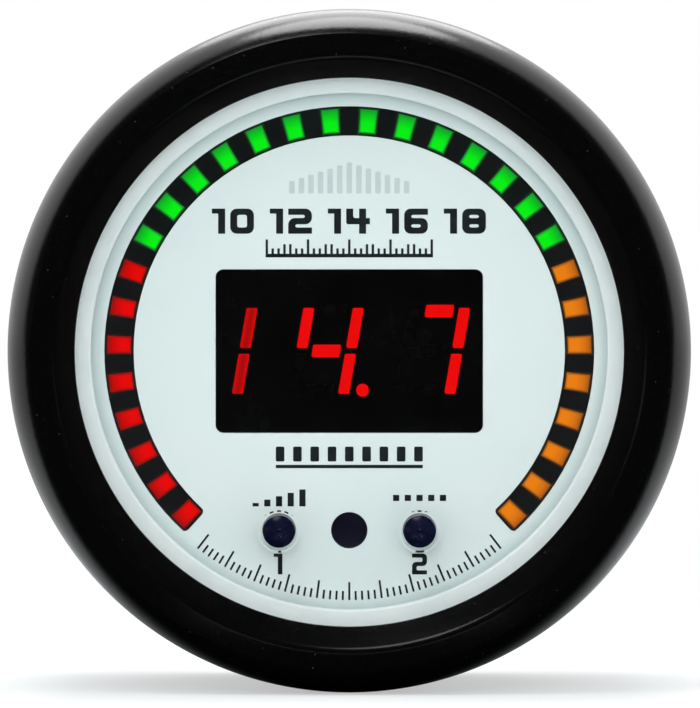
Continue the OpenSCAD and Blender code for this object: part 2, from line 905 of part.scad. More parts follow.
module case() {
    root_z = floor_z - back_wall / 2;
    port_w = connector_w + 2 * connector_gap;
    collar_w = port_w + 2 * collar_wall;
    color("#17181a") upright() difference() {
        union() {
            case_shell();
            at_fixings() post();
            at_studs() {
                rod(head_r + pocket_gap + pocket_wall, root_z, floor_z + head_t);
                rod(pad_r, -case_depth - pad_t, root_z);
            }
            translate([0, -connector_y, 0]) block(collar_w, collar_w, -case_depth - collar_h, root_z);
        }
        at_fixings() rod(thread_r + fit_gap, spacer_tip_z - seat_gap, power_board_back_z + cut);
        at_studs() {
            rod(head_r + pocket_gap, floor_z, floor_z + head_t + cut, $fn = 6);
            rod(stud_r + fit_gap, -case_depth - pad_t - cut, floor_z + cut);
        }
        translate([0, -connector_y, 0])
            block(port_w, port_w, -case_depth - collar_h - cut, floor_z + cut);
    }
}

module studs() {
    color("#c3c6ca") upright() at_studs() {
        rod(head_r, floor_z, floor_z + head_t, $fn = 6);
        rotate_extrude() polygon([
            [0, stud_end_z],
            [stud_r - stud_chamfer, stud_end_z],
            [stud_r, stud_end_z + stud_chamfer],
            [stud_r, floor_z + head_t / 2],
            [0, floor_z + head_t / 2]
        ]);
    }
}

// Clamp: a round cup of strip metal, cut to a strip with curved legs and stiffened by two beads
module clamp_bracket() {
    color("#b4b8bc") upright() difference() {
        union() {
            intersection() {
                rotate_extrude() polygon(rounded([
                    [0, bridge_back_z, 0],
                    [leg_out_r, bridge_back_z, bend_r + strip_t],
                    [leg_out_r, -panel_t, 0],
                    [leg_r, -panel_t, 0],
                    [leg_r, bridge_z, bend_r],
                    [0, bridge_z, 0]
                ]));
                block(2 * leg_out_r + cut, strip_w, bridge_back_z - cut, cut);
            }
            for (side = [-1, 1])
                translate([0, side * bead_rib_y_share * strip_w, 0])
                    block(2 * bead_rib_x_share * stud_x, bead_rib_w, bridge_back_z - bead_rib_h, bridge_z);
        }
        at_studs() rod(stud_r + strip_hole_gap, bridge_back_z - cut, bridge_z + cut);
    }
}

module washers() {
    color("#c9ccd0") upright() at_studs() ring(stud_r + washer_gap, washer_r, washer_back_z, bridge_back_z);
}

// Hexagon nut with both rims chamfered
module nut(side) {
    rim = nut_af / sqrt(3);
    upright() translate([side * stud_x, 0, 0]) difference() {
        intersection() {
            hex_prism(nut_af, nut_back_z, washer_back_z);
            rotate_extrude() polygon([
                [0, nut_back_z],
                [rim - 2 * nut_chamfer, nut_back_z],
                [rim, nut_back_z + nut_chamfer],
                [rim, washer_back_z - nut_chamfer],
                [rim - 2 * nut_chamfer, washer_back_z],
                [0, washer_back_z]
            ]);
        }
        rod(stud_r + run_gap, nut_back_z - cut, washer_back_z + cut);
    }
}

module left_nut() {
    color("#d0d2d6") nut(-1);
}

module right_nut() {
    color("#d0d2d6") nut(1);
}

bezel();
lens();
lens_gasket();
spacer_ring();
dial();
light_bar();
green_windows();
amber_windows();
red_windows();
bar_lamps();
display_housing();
lit_strokes();
dark_strokes();
light_sensor();
left_switch();
right_switch();
left_button();
right_button();
snap_domes();
front_board();
board_screws();
board_spacers();
header_socket();
header_base();
header_pins();
power_board();
processor();
regulator();
capacitors();
rear_connector();
connector_pins();
case();
studs();
clamp_bracket();
washers();
left_nut();
right_nut();
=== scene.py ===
import math

import bmesh
import bpy
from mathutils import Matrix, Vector
from mathutils.geometry import tessellate_polygon


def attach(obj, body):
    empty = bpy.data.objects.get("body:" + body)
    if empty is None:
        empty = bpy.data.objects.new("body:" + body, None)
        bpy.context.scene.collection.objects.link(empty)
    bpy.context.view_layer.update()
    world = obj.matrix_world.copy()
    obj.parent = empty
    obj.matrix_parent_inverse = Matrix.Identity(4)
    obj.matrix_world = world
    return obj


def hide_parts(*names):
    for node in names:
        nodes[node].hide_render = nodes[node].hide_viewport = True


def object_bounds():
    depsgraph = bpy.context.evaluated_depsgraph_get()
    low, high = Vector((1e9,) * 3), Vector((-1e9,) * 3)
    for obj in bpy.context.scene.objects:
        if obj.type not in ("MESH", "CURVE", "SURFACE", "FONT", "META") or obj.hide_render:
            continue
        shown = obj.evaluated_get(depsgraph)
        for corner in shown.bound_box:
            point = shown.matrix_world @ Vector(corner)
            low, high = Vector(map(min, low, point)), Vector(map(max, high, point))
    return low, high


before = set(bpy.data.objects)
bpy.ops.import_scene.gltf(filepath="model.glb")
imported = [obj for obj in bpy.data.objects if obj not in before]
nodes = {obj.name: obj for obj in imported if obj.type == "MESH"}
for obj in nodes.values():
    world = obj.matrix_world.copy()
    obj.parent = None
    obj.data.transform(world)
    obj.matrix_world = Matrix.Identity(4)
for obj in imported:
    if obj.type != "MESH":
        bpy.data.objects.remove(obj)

# Looks of the air fuel ratio gauge, in metres, dial towards -Y and twelve o'clock towards +Z
mm = 0.001
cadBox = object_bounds()


def linearColour(hexValue, alpha=1.0):
    # sRGB hex to the linear colour that the shaders take
    parts = [int(hexValue[i:i + 2], 16) / 255 for i in (0, 2, 4)]
    return tuple(p / 12.92 if p <= 0.04045 else ((p + 0.055) / 1.055) ** 2.4 for p in parts) + (alpha,)


toMm = (1000, 0, 1000)  # a point's place on the dial, from metres to millimetres


def perMm(size):
    # texture scale at which one grain measures that many millimetres
    return 1000 / size


def addNode(tree, kind, inputs=None, stops=None, **settings):
    # one shader node: its options, its colour stops, then a value or a (node, output) link for each input
    node = tree.nodes.new("ShaderNode" + kind)
    for option, value in settings.items():
        setattr(node, option, value)
    for i, (position, colour) in enumerate(stops or []):
        stop = node.color_ramp.elements[i] if i < 2 else node.color_ramp.elements.new(position)
        stop.position, stop.color = position, colour
    for key, value in (inputs or {}).items():
        if isinstance(value, tuple) and isinstance(value[0], bpy.types.Node):
            tree.links.new(value[0].outputs[value[1]], node.inputs[key])
        else:
            node.inputs[key].default_value = value
    return node


def newMaterial(name):
    material = bpy.data.materials.new(name)
    material.use_nodes = True
    material.node_tree.nodes.clear()
    return material, material.node_tree


def output(tree, shader, name="BSDF"):
    addNode(tree, "OutputMaterial", {"Surface": (shader, name)})


def finish(name, look):
    # a plain finish: two close tones in clouds, roughness that wanders with them, and a fine relief
    material, tree = newMaterial(name)
    spot = addNode(tree, "TexCoord")
    cloud = addNode(tree, "TexNoise", {"Vector": (spot, "Object"), "Scale": perMm(look["cloudMm"]),
                                       "Detail": 4.0, "Roughness": 0.6})
    tone = addNode(tree, "ValToRGB", {"Fac": (cloud, "Fac")},
                   stops=[(0.35, linearColour(look["dark"])), (0.65, linearColour(look["light"]))])
    rough = addNode(tree, "MapRange", {"Value": (cloud, "Fac"), "From Min": 0.35, "From Max": 0.65,
                                       "To Min": look["rough"][0], "To Max": look["rough"][1]})
    stretch = addNode(tree, "Mapping", {"Vector": (spot, "Object"), "Scale": look.get("stretch", (1, 1, 1))})
    grain = addNode(tree, "TexNoise", {"Vector": (stretch, "Vector"), "Scale": perMm(look["grainMm"]),
                                       "Detail": 2.0})
    relief = addNode(tree, "Bump", {"Height": (grain, "Fac"), "Strength": 1.0,
                                    "Distance": look["reliefMm"] * mm})
    shader = addNode(tree, "BsdfPrincipled", {
        "Base Color": (tone, "Color"), "Roughness": (rough, "Result"), "Normal": (relief, "Normal"),
        "Metallic": look.get("metallic", 0.0), **look.get("sockets", {})})
    output(tree, shader)
    return material


def dress(material, *names):
    for name in names:
        nodes[name].data.materials.clear()
        nodes[name].data.materials.append(material)


def cornerArc(before, point, after, radius, steps):
    # a corner of an outline, turned into a true arc
    a, b, c = Vector(before[:2]), Vector(point[:2]), Vector(after[:2])
    if not radius:
        return [b]
    u, w = (a - b).normalized(), (c - b).normalized()
    half = math.acos(max(-1, min(1, u.dot(w)))) / 2
    centre = b + (u + w).normalized() * radius / math.sin(half)
    start = b + u * radius / math.tan(half) - centre
    first = math.atan2(start.y, start.x)
    turn = -math.copysign(math.pi - 2 * half, u.cross(w) if u.cross(w) else 1)
    return [centre + Vector((math.cos(first + turn * i / steps), math.sin(first + turn * i / steps))) * radius
            for i in range(steps + 1)]


def rounded(points, steps=8):
    # closed outline through (x, y, corner radius)
    n = len(points)
    corners = [cornerArc(points[i - 1], points[i], points[(i + 1) % n], points[i][2], steps)
               for i in range(n)]
    return [p for corner in corners for p in corner]


def place(x, y, height):
    # dial coordinates in millimetres, height towards the viewer, to the frame
    return Vector((x, -height, y)) * mm


def lathe(bm, profile, segments):
    # a closed profile of (radius, height) turned round the dial's axis
    rings = []
    for i in range(segments):
        a = 2 * math.pi * i / segments
        rings.append([bm.verts.new(place(r * math.sin(a), r * math.cos(a), z)) for r, z in profile])
    for i in range(segments):
        for j in range(len(profile)):
            k = (j + 1) % len(profile)
            here, there = rings[i], rings[(i + 1) % segments]
            bm.faces.new((here[j], here[k], there[k], there[j]))


def addFilm(bm, loops, low, high):
    # a flat film with an outer loop and any holes, between two heights
    below = [[bm.verts.new(place(p[0], p[1], low)) for p in loop] for loop in loops]
    above = [[bm.verts.new(place(p[0], p[1], high)) for p in loop] for loop in loops]
    flatBelow, flatAbove = [v for loop in below for v in loop], [v for loop in above for v in loop]
    for a, b, c in tessellate_polygon([[Vector((p[0], p[1], 0)) for p in loop] for loop in loops]):
        bm.faces.new((flatAbove[a], flatAbove[b], flatAbove[c]))
        bm.faces.new((flatBelow[c], flatBelow[b], flatBelow[a]))
    for lower, upper in zip(below, above):
        for i in range(len(lower)):
            k = (i + 1) % len(lower)
            bm.faces.new((lower[i], lower[k], upper[k], upper[i]))


def makePiece(name, bm, material, body, replaced=(), smoothAngle=30):
    bmesh.ops.recalc_face_normals(bm, faces=bm.faces)
    mesh = bpy.data.meshes.new(name)
    bm.to_mesh(mesh)
    bm.free()
    mesh.shade_smooth()
    mesh.set_sharp_from_angle(angle=math.radians(smoothAngle))
    mesh.materials.append(material)
    piece = bpy.data.objects.new(name, mesh)
    bpy.context.scene.collection.objects.link(piece)
    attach(piece, body)
    if replaced:
        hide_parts(*replaced)
    return piece


print("stage: materials")

# Powder coated steel: dull black film with a fine orange peel that breaks up its highlights
powderCoat = {"dark": "020202", "light": "050606", "rough": (0.18, 0.25), "peelMm": 0.55,
              "peelDepthMm": 0.008, "grainMm": 0.16, "grainDepthMm": 0.005,
              "gritMm": 1.0, "gritShare": 0.06, "grit": "444c4c"}
powderCoatedSteel, tree = newMaterial("powderCoatedSteel")
spot = addNode(tree, "TexCoord")
peel = addNode(tree, "TexNoise", {"Vector": (spot, "Object"), "Scale": perMm(powderCoat["peelMm"]),
                                  "Detail": 3.0})
grain = addNode(tree, "TexNoise", {"Vector": (spot, "Object"), "Scale": perMm(powderCoat["grainMm"]),
                                   "Detail": 1.0})
tone = addNode(tree, "ValToRGB", {"Fac": (grain, "Fac")}, stops=[
    (0.4, linearColour(powderCoat["dark"])), (0.7, linearColour(powderCoat["light"]))])
rough = addNode(tree, "MapRange", {"Value": (grain, "Fac"), "From Min": 0.35, "From Max": 0.7,
                                   "To Min": powderCoat["rough"][0], "To Max": powderCoat["rough"][1]})
peelRelief = addNode(tree, "Bump", {"Height": (peel, "Fac"), "Strength": 1.0,
                                    "Distance": powderCoat["peelDepthMm"] * mm})
grainRelief = addNode(tree, "Bump", {"Height": (grain, "Fac"), "Strength": 1.0,
                                     "Distance": powderCoat["grainDepthMm"] * mm,
                                     "Normal": (peelRelief, "Normal")})
# Pale grit in the film: a speck wherever the surface passes close to a cell's point
cells = addNode(tree, "TexVoronoi", {"Vector": (spot, "Object"), "Scale": perMm(powderCoat["gritMm"])})
speck = addNode(tree, "MapRange", {"Value": (cells, "Distance"), "From Min": powderCoat["gritShare"] / 2,
                                   "From Max": powderCoat["gritShare"], "To Min": 1.0, "To Max": 0.0})
coat = addNode(tree, "Mix", {0: (speck, "Result"), 6: (tone, "Color"), 7: linearColour(powderCoat["grit"])},
               data_type="RGBA")
output(tree, addNode(tree, "BsdfPrincipled", {
    "Base Color": (coat, 2), "Roughness": (rough, "Result"), "Normal": (grainRelief, "Normal")}))

# Cast acrylic: clear and colourless, glossy, so only its edges and hole rims show
acrylic = {"paintedGlowColour": "fbfdfd", "rough": 0.02, "ior": 1.49, "waveMm": 9.0, "waveDepthMm": 0.004}
castAcrylic, tree = newMaterial("castAcrylic")
spot = addNode(tree, "TexCoord")
wave = addNode(tree, "TexNoise", {"Vector": (spot, "Object"), "Scale": perMm(acrylic["waveMm"])})
relief = addNode(tree, "Bump", {"Height": (wave, "Fac"), "Strength": 1.0,
                                "Distance": acrylic["waveDepthMm"] * mm})
# Soft light and shadows pass straight through, so the dial is lit as if the lens weren't there
clear = addNode(tree, "BsdfPrincipled", {
    "Base Color": linearColour(acrylic["paintedGlowColour"]), "Roughness": acrylic["rough"], "IOR": acrylic["ior"],
    "Transmission Weight": 1.0, "Normal": (relief, "Normal")})
unbent = addNode(tree, "BsdfTransparent")
path = addNode(tree, "LightPath")
lets = addNode(tree, "Math", {0: (path, "Is Shadow Ray"), 1: (path, "Is Diffuse Ray")}, operation="MAXIMUM")
output(tree, addNode(tree, "MixShader", {0: (lets, "Value"), 1: (clear, "BSDF"), 2: (unbent, "BSDF")}),
       "Shader")

# Screen printed dial plate: white lacquer over metal, satin, with the faintest cool clouding
dialLook = {"dark": "dfeeed", "light": "e6f2f0", "cloudMm": 14.0, "rough": (0.5, 0.6), "grainMm": 0.25,
            "reliefMm": 0.004, "sockets": {"IOR": 1.5}}
lacqueredDial = finish("lacqueredDial", dialLook)
# Painted shade: its border greys towards the white ring, standing in for the shadow that the ring's wall
# casts on the dial
paintedRingShade = {"from": 20.35, "to": 21.6, "ends": [(0.0, "ffffff"), (1.0, "d3d6d7")],
          "between": [(0.4, "f0f1f1"), (0.75, "dddfe0")]}
tree = lacqueredDial.node_tree
spot = addNode(tree, "TexCoord")
flatSpot = addNode(tree, "VectorMath", {0: (spot, "Object"), 1: toMm}, operation="MULTIPLY")
radius = addNode(tree, "VectorMath", {0: (flatSpot, "Vector")}, operation="LENGTH")
share = addNode(tree, "MapRange", {"Value": (radius, "Value"), "From Min": paintedRingShade["from"],
                                   "From Max": paintedRingShade["to"]})
paintedShadeGreys = addNode(tree, "ValToRGB", {"Fac": (share, "Result")}, stops=[
    (at, linearColour(grey)) for at, grey in paintedRingShade["ends"] + paintedRingShade["between"]])
shader = next(node for node in tree.nodes if node.type == "BSDF_PRINCIPLED")
plain = shader.inputs["Base Color"].links[0].from_node
# the painted shade darkens the lacquer's own colour
dialWithPaintedShade = addNode(tree, "Mix", {0: 1.0, 6: (plain, "Color"), 7: (paintedShadeGreys, "Color")}, data_type="RGBA",
                 blend_type="MULTIPLY")
tree.links.new(dialWithPaintedShade.outputs[2], shader.inputs["Base Color"])
# Screen ink: a dense blue black film, duller than the lacquer under it
screenInk = finish("screenInk", {"dark": "0c1618", "light": "132023", "cloudMm": 0.6, "rough": (0.5, 0.65),
                                 "grainMm": 0.12, "reliefMm": 0.004})
# Pale screen ink: a grey tint that only just stands out from the lacquer
paleInk = finish("paleInk", {"dark": "c3d2d1", "light": "cbd9d8", "cloudMm": 0.8, "rough": (0.5, 0.65),
                             "grainMm": 0.12, "reliefMm": 0.003})
# Moulded white ABS: soft sheen, slightly bluer than the dial
mouldedWhiteAbs = finish("mouldedWhiteAbs", {"dark": "e8f4f3", "light": "eef8f7", "cloudMm": 5.0,
                                             "rough": (0.4, 0.5), "grainMm": 0.2, "reliefMm": 0.004})
dress(lacqueredDial, "dial")
dress(mouldedWhiteAbs, "spacer_ring")

# Where the thirty windows lie, in millimetres and degrees
bar = {"middle": 19.27, "length": 1.92, "width": 1.38, "sweep": 270, "count": 30, "red": 8, "amber": 8}
bar["step"] = bar["sweep"] / (bar["count"] - 1)


def windowPlaces(tree):
    # how far a point lies from its window's middle, along the radius and across it, in millimetres
    spot = addNode(tree, "TexCoord")
    parts = addNode(tree, "SeparateXYZ", {"Vector": (spot, "Object")})
    flatSpot = addNode(tree, "VectorMath", {0: (spot, "Object"), 1: toMm}, operation="MULTIPLY")
    radius = addNode(tree, "VectorMath", {0: (flatSpot, "Vector")}, operation="LENGTH")
    along = addNode(tree, "Math", {0: (radius, "Value"), 1: bar["middle"]}, operation="SUBTRACT")
    angle = addNode(tree, "Math", {0: (parts, "X"), 1: (parts, "Z")}, operation="ARCTAN2")
    turns = addNode(tree, "Math", {0: (angle, "Value"), 1: math.radians(bar["step"])}, operation="DIVIDE")
    share = addNode(tree, "Math", {0: (turns, "Value")}, operation="FRACT")
    offset = addNode(tree, "Math", {0: (share, "Value"), 1: 0.5}, operation="SUBTRACT")
    across = addNode(tree, "Math", {0: (offset, "Value"), 1: math.radians(bar["step"]) * bar["middle"]},
                     operation="MULTIPLY")
    across = addNode(tree, "Math", {0: (across, "Value")}, operation="ABSOLUTE")
    return along, across, turns


# Lit acrylic diffuser: glows from the lamp below, brightest towards the dial's middle, duller at its edges
window = {"edgeEnds": 0.07, "brightEnds": 0.42, "farFrom": 0.78, "fadeMm": 0.2, "rough": 0.35, "ior": 1.49}


def litAcrylic(name, look):
    material, tree = newMaterial(name)
    along, across, turns = windowPlaces(tree)
    share = addNode(tree, "MapRange", {"Value": (along, "Value"), "From Min": -bar["length"] / 2,
                                       "From Max": bar["length"] / 2})
    glow = addNode(tree, "ValToRGB", {"Fac": (share, "Result")}, stops=[
        (0.0, linearColour(look["edge"])), (window["edgeEnds"], linearColour(look["bright"])),
        (window["brightEnds"], linearColour(look["bright"])), (window["farFrom"], linearColour(look["far"])),
        (1.0, linearColour(look["edge"]))])
    side = addNode(tree, "MapRange", {"Value": (across, "Value"),
                                      "From Min": bar["width"] / 2 - window["fadeMm"],
                                      "From Max": bar["width"] / 2}, interpolation_type="SMOOTHSTEP")
    mixed = addNode(tree, "Mix", {0: (side, "Result"), 6: (glow, "Color"), 7: linearColour(look["edge"])},
                    data_type="RGBA")
    output(tree, addNode(tree, "BsdfPrincipled", {
        "Base Color": linearColour(look["body"]), "Roughness": window["rough"], "IOR": window["ior"],
        "Emission Color": (mixed, 2), "Emission Strength": 1.0}))
    return material


greenLook = {"bright": "00f610", "far": "00cc18", "edge": "189a30", "body": "021004"}
redLook = {"bright": "ee0000", "far": "d20000", "edge": "9c0a06", "body": "100000"}
amberLook = {"bright": "f2840a", "far": "dc720c", "edge": "a85812", "body": "140c00"}
dress(litAcrylic("litGreenAcrylic", greenLook), "green_windows")
dress(litAcrylic("litRedAcrylic", redLook), "red_windows")
dress(litAcrylic("litAmberAcrylic", amberLook), "amber_windows")

# Moulded black ABS of the light bar: dull, with a painted glow for a hair's breadth round each lit window,
# emission standing in for light spilling from it
barLook = {"dark": "060a0c", "light": "0c1013", "rough": 0.5, "haloMm": 0.2, "redHalo": "5a0d08",
           "greenHalo": "0a5a16", "amberHalo": "5a3206", "grainMm": 0.15, "reliefMm": 0.004}
mouldedBarAbs, tree = newMaterial("mouldedBarAbs")
along, across, turns = windowPlaces(tree)
alongAway = addNode(tree, "Math", {0: (along, "Value")}, operation="ABSOLUTE")
alongOut = addNode(tree, "Math", {0: (alongAway, "Value"), 1: bar["length"] / 2}, operation="SUBTRACT")
acrossOut = addNode(tree, "Math", {0: (across, "Value"), 1: bar["width"] / 2}, operation="SUBTRACT")
away = addNode(tree, "Math", {0: (alongOut, "Value"), 1: (acrossOut, "Value")}, operation="MAXIMUM")
# Painted glow: the bar emits near each window, fading out over haloMm, in the colour of its window
paintedGlow = addNode(tree, "MapRange", {"Value": (away, "Value"), "From Min": 0.0, "From Max": barLook["haloMm"],
                                  "To Min": 1.0, "To Max": 0.0}, interpolation_type="SMOOTHSTEP")
stretchShare = addNode(tree, "MapRange", {"Value": (turns, "Value"), "From Min": -bar["count"] / 2,
                                          "From Max": bar["count"] / 2})
redEnd, amberStart = bar["red"] / bar["count"], 1 - bar["amber"] / bar["count"]
paintedGlowColour = addNode(tree, "ValToRGB", {"Fac": (stretchShare, "Result")}, stops=[
    (0.0, linearColour(barLook["redHalo"])), (redEnd, linearColour(barLook["greenHalo"])),
    (amberStart, linearColour(barLook["amberHalo"]))])
paintedGlowColour.color_ramp.interpolation = "CONSTANT"
spot = addNode(tree, "TexCoord")
grain = addNode(tree, "TexNoise", {"Vector": (spot, "Object"), "Scale": perMm(barLook["grainMm"])})
tone = addNode(tree, "ValToRGB", {"Fac": (grain, "Fac")}, stops=[
    (0.4, linearColour(barLook["dark"])), (0.6, linearColour(barLook["light"]))])
relief = addNode(tree, "Bump", {"Height": (grain, "Fac"), "Strength": 1.0,
                                "Distance": barLook["reliefMm"] * mm})
output(tree, addNode(tree, "BsdfPrincipled", {
    "Base Color": (tone, "Color"), "Roughness": barLook["rough"], "Normal": (relief, "Normal"),
    "Emission Color": (paintedGlowColour, "Color"), "Emission Strength": (paintedGlow, "Result")}))
dress(mouldedBarAbs, "light_bar")

# Dark filter of the display: smoked epoxy, all but black and glossy
dress(finish("smokedEpoxy", {"dark": "010101", "light": "030303", "cloudMm": 4.0, "rough": (0.22, 0.28),
                             "grainMm": 0.5, "reliefMm": 0.002}), "display_housing")
# Strokes that aren't lit: the same smoked epoxy, a shade redder
dress(finish("unlitEpoxy", {"dark": "020101", "light": "040101", "cloudMm": 1.0, "rough": (0.25, 0.3),
                            "grainMm": 0.4, "reliefMm": 0.002}), "dark_strokes")

# Lit strokes: red epoxy; the first digit is dimmer, with a darker core down the middle of each stroke
digits = {"bright": "f20000", "dim": "da0000", "core": "a80000", "lean": 9.8, "firstX": -8.748,
          "coreMm": 0.08, "edgeMm": 0.4, "halfMm": 1.2, "body": "140000", "rough": 0.3, "ior": 1.55}
litEpoxy, tree = newMaterial("litEpoxy")
spot = addNode(tree, "TexCoord")
parts = addNode(tree, "SeparateXYZ", {"Vector": (spot, "Object")})
lean = addNode(tree, "Math", {0: (parts, "Z"), 1: -math.tan(math.radians(digits["lean"])),
                              2: (parts, "X")}, operation="MULTIPLY_ADD")
fromFirst = addNode(tree, "Math", {0: (lean, "Value"), 1: digits["firstX"] * mm}, operation="SUBTRACT")
fromFirst = addNode(tree, "Math", {0: (fromFirst, "Value")}, operation="ABSOLUTE")
core = addNode(tree, "MapRange", {"Value": (fromFirst, "Value"), "From Min": digits["coreMm"] * mm,
                                  "From Max": digits["edgeMm"] * mm})
first = addNode(tree, "Math", {0: (fromFirst, "Value"), 1: digits["halfMm"] * mm}, operation="LESS_THAN")
dimColour = addNode(tree, "Mix", {0: (core, "Result"), 6: linearColour(digits["core"]),
                                  7: linearColour(digits["dim"])}, data_type="RGBA")
glow = addNode(tree, "Mix", {0: (first, "Value"), 6: linearColour(digits["bright"]), 7: (dimColour, 2)},
               data_type="RGBA")
output(tree, addNode(tree, "BsdfPrincipled", {
    "Base Color": linearColour(digits["body"]), "Roughness": digits["rough"], "IOR": digits["ior"],
    "Emission Color": (glow, 2), "Emission Strength": 1.0}))
dress(litEpoxy, "lit_strokes")

# Sensor resin: a dark violet window, flat and half glossy
dress(finish("sensorResin", {"dark": "04031a", "light": "070524", "cloudMm": 1.5, "rough": (0.3, 0.4),
                             "grainMm": 0.3, "reliefMm": 0.002}), "light_sensor")
# Moulded navy ABS: polished button heads that catch the lights
dress(finish("polishedNavyAbs", {"dark": "060a24", "light": "0a0f30", "cloudMm": 1.2, "rough": (0.24, 0.3),
                                 "grainMm": 0.25, "reliefMm": 0.002}), "left_button", "right_button")
# Nitrile rubber: matt black with a talc bloom
dress(finish("nitrileRubber", {"dark": "161616", "light": "222222", "cloudMm": 1.0, "rough": (0.7, 0.85),
                               "grainMm": 0.2, "reliefMm": 0.01}), "lens_gasket")
# Moulded black nylon: switch and header bodies, dull with a slight flow pattern
dress(finish("mouldedBlackNylon", {"dark": "1a1a1b", "light": "242425", "cloudMm": 1.5, "rough": (0.45, 0.6),
                                   "grainMm": 0.15, "reliefMm": 0.005}),
      "left_switch", "right_switch", "header_socket", "header_base")
# Moulded epoxy packages: grey black with a fine filler speckle
dress(finish("mouldedEpoxy", {"dark": "161618", "light": "202022", "cloudMm": 0.5, "rough": (0.55, 0.7),
                              "grainMm": 0.1, "reliefMm": 0.004}), "processor", "regulator")
# PVC sleeve: shrunk over the capacitors, half glossy dark blue
dress(finish("shrunkPvcSleeve", {"dark": "22305a", "light": "2b3c6e", "cloudMm": 3.0, "rough": (0.25, 0.35),
                                 "grainMm": 0.8, "reliefMm": 0.01}), "capacitors")
# Lamp resin: milky drops over the lamp chips
dress(finish("milkyLampResin", {"dark": "ddd8bd", "light": "efead2", "cloudMm": 0.5, "rough": (0.3, 0.4),
                                "grainMm": 0.2, "reliefMm": 0.003}), "bar_lamps")
# Glass board under green solder mask: weave and clouds in the mask
dress(finish("solderMaskBoard", {"dark": "0b4026", "light": "145a36", "cloudMm": 0.9, "rough": (0.3, 0.42),
                                 "grainMm": 0.5, "reliefMm": 0.01, "stretch": (1.0, 1.0, 0.5)}),
      "front_board", "power_board")
# Rolled spring steel: bright snap domes
dress(finish("rolledSpringSteel", {"dark": "b9bcbf", "light": "d2d4d6", "cloudMm": 0.6, "rough": (0.22, 0.34),
                                   "grainMm": 0.1, "reliefMm": 0.002, "metallic": 1.0}), "snap_domes")
# Turned brass: warm, with fine tool marks round the spacers
dress(finish("turnedBrass", {"dark": "b8913f", "light": "d0ab58", "cloudMm": 1.2, "rough": (0.25, 0.38),
                             "grainMm": 0.12, "reliefMm": 0.003, "metallic": 1.0,
                             "stretch": (0.2, 2.0, 0.2)}), "board_spacers")
# Gold flash over brass: pins with a soft warm shine
dress(finish("goldFlashedBrass", {"dark": "c49a3c", "light": "dcb75c", "cloudMm": 0.8, "rough": (0.2, 0.32),
                                  "grainMm": 0.15, "reliefMm": 0.002, "metallic": 1.0}),
      "header_pins", "connector_pins")
# Natural nylon: the milky, slightly warm shell of the connector
dress(finish("naturalNylon", {"dark": "e2dccb", "light": "efeadc", "cloudMm": 2.5, "rough": (0.35, 0.5),
                              "grainMm": 0.3, "reliefMm": 0.006,
                              "sockets": {"Subsurface Weight": 0.15, "Subsurface Scale": 0.0006}}),
      "rear_connector")
# Glass filled nylon: the case, spark eroded mould grain, dull black
caseLook = {"dark": "161719", "light": "1b1c1f", "cloudMm": 1.6, "rough": (0.5, 0.56), "grainMm": 0.26,
            "reliefMm": 0.016}
glassFilledNylon = finish("glassFilledNylon", caseLook)
dress(glassFilledNylon, "case")
# Bright zinc plate on steel: faintly blue, small cloudy crystals
zincLook = {"dark": "b0b4b8", "light": "c2c6ca", "cloudMm": 0.8, "rough": (0.26, 0.34), "grainMm": 0.2,
            "reliefMm": 0.003, "metallic": 1.0}
zincPlatedSteel = finish("zincPlatedSteel", zincLook)
dress(zincPlatedSteel, "board_screws", "washers", "left_nut", "right_nut")
# Rolled strip with zinc plate: long rolling lines along the clamp
rolledZincStrip = finish("rolledZincStrip", {"dark": "a6abaf", "light": "b8bcc0", "cloudMm": 1.4,
                                             "rough": (0.32, 0.39), "grainMm": 0.3, "reliefMm": 0.005,
                                             "metallic": 1.0, "stretch": (0.12, 0.12, 1.6)})
dress(rolledZincStrip, "clamp_bracket")
dress(castAcrylic, "lens")

# Edges that a tool or a mould leaves a little round, in millimetres. The solids' faces are welded first.
softEdges = {"case": 0.15, "clamp_bracket": 0.22, "washers": 0.1, "left_nut": 0.15, "right_nut": 0.15,
             "rear_connector": 0.12}
softening = {"weldMm": 0.0005, "segments": 2, "fromAngle": 35}
for name, width in softEdges.items():
    weld = nodes[name].modifiers.new("weld", "WELD")
    weld.merge_threshold = softening["weldMm"] * mm
    bevel = nodes[name].modifiers.new("softEdge", "BEVEL")
    bevel.width, bevel.segments = width * mm, softening["segments"]
    bevel.limit_method, bevel.angle_limit = "ANGLE", math.radians(softening["fromAngle"])
    bevel.harden_normals = True

print("stage: bezel")
# Heights are from the panel towards the viewer, radii from the dial's axis; the shoulder follows an ellipse
bezel = {"outer": 28.6, "opening": 22.92, "crest": 24.82, "height": 7.4, "slope": 0.3 / 1.7,
         "shoulderReach": 3.2, "shoulderFall": 5.38, "shoulderFrom": 23.6, "cornerRound": 0.1,
         "shoulderSteps": 20, "crestRound": 0.75, "edgeRound": 0.2, "backChamfer": 0.3,
         "bore": 25.95, "lip": 4.9, "edgeHeight": 0.5, "recess": 27.05, "recessHeight": 1.55, "segments": 288}
reach, fall, first = bezel["shoulderReach"], bezel["shoulderFall"], math.radians(bezel["shoulderFrom"])
middle = bezel["outer"] - reach
startRadius = middle + reach * math.sin(first)
startHeight = bezel["height"] - bezel["slope"] * (startRadius - bezel["crest"])
shoulder = []
for i in range(bezel["shoulderSteps"] + 1):
    a = first + (math.pi / 2 - first) * (1 - i / bezel["shoulderSteps"])
    shoulder.append((middle + reach * math.sin(a), startHeight + fall * (math.cos(a) - math.cos(first)),
                     bezel["cornerRound"] if i == bezel["shoulderSteps"] else 0))
bm = bmesh.new()
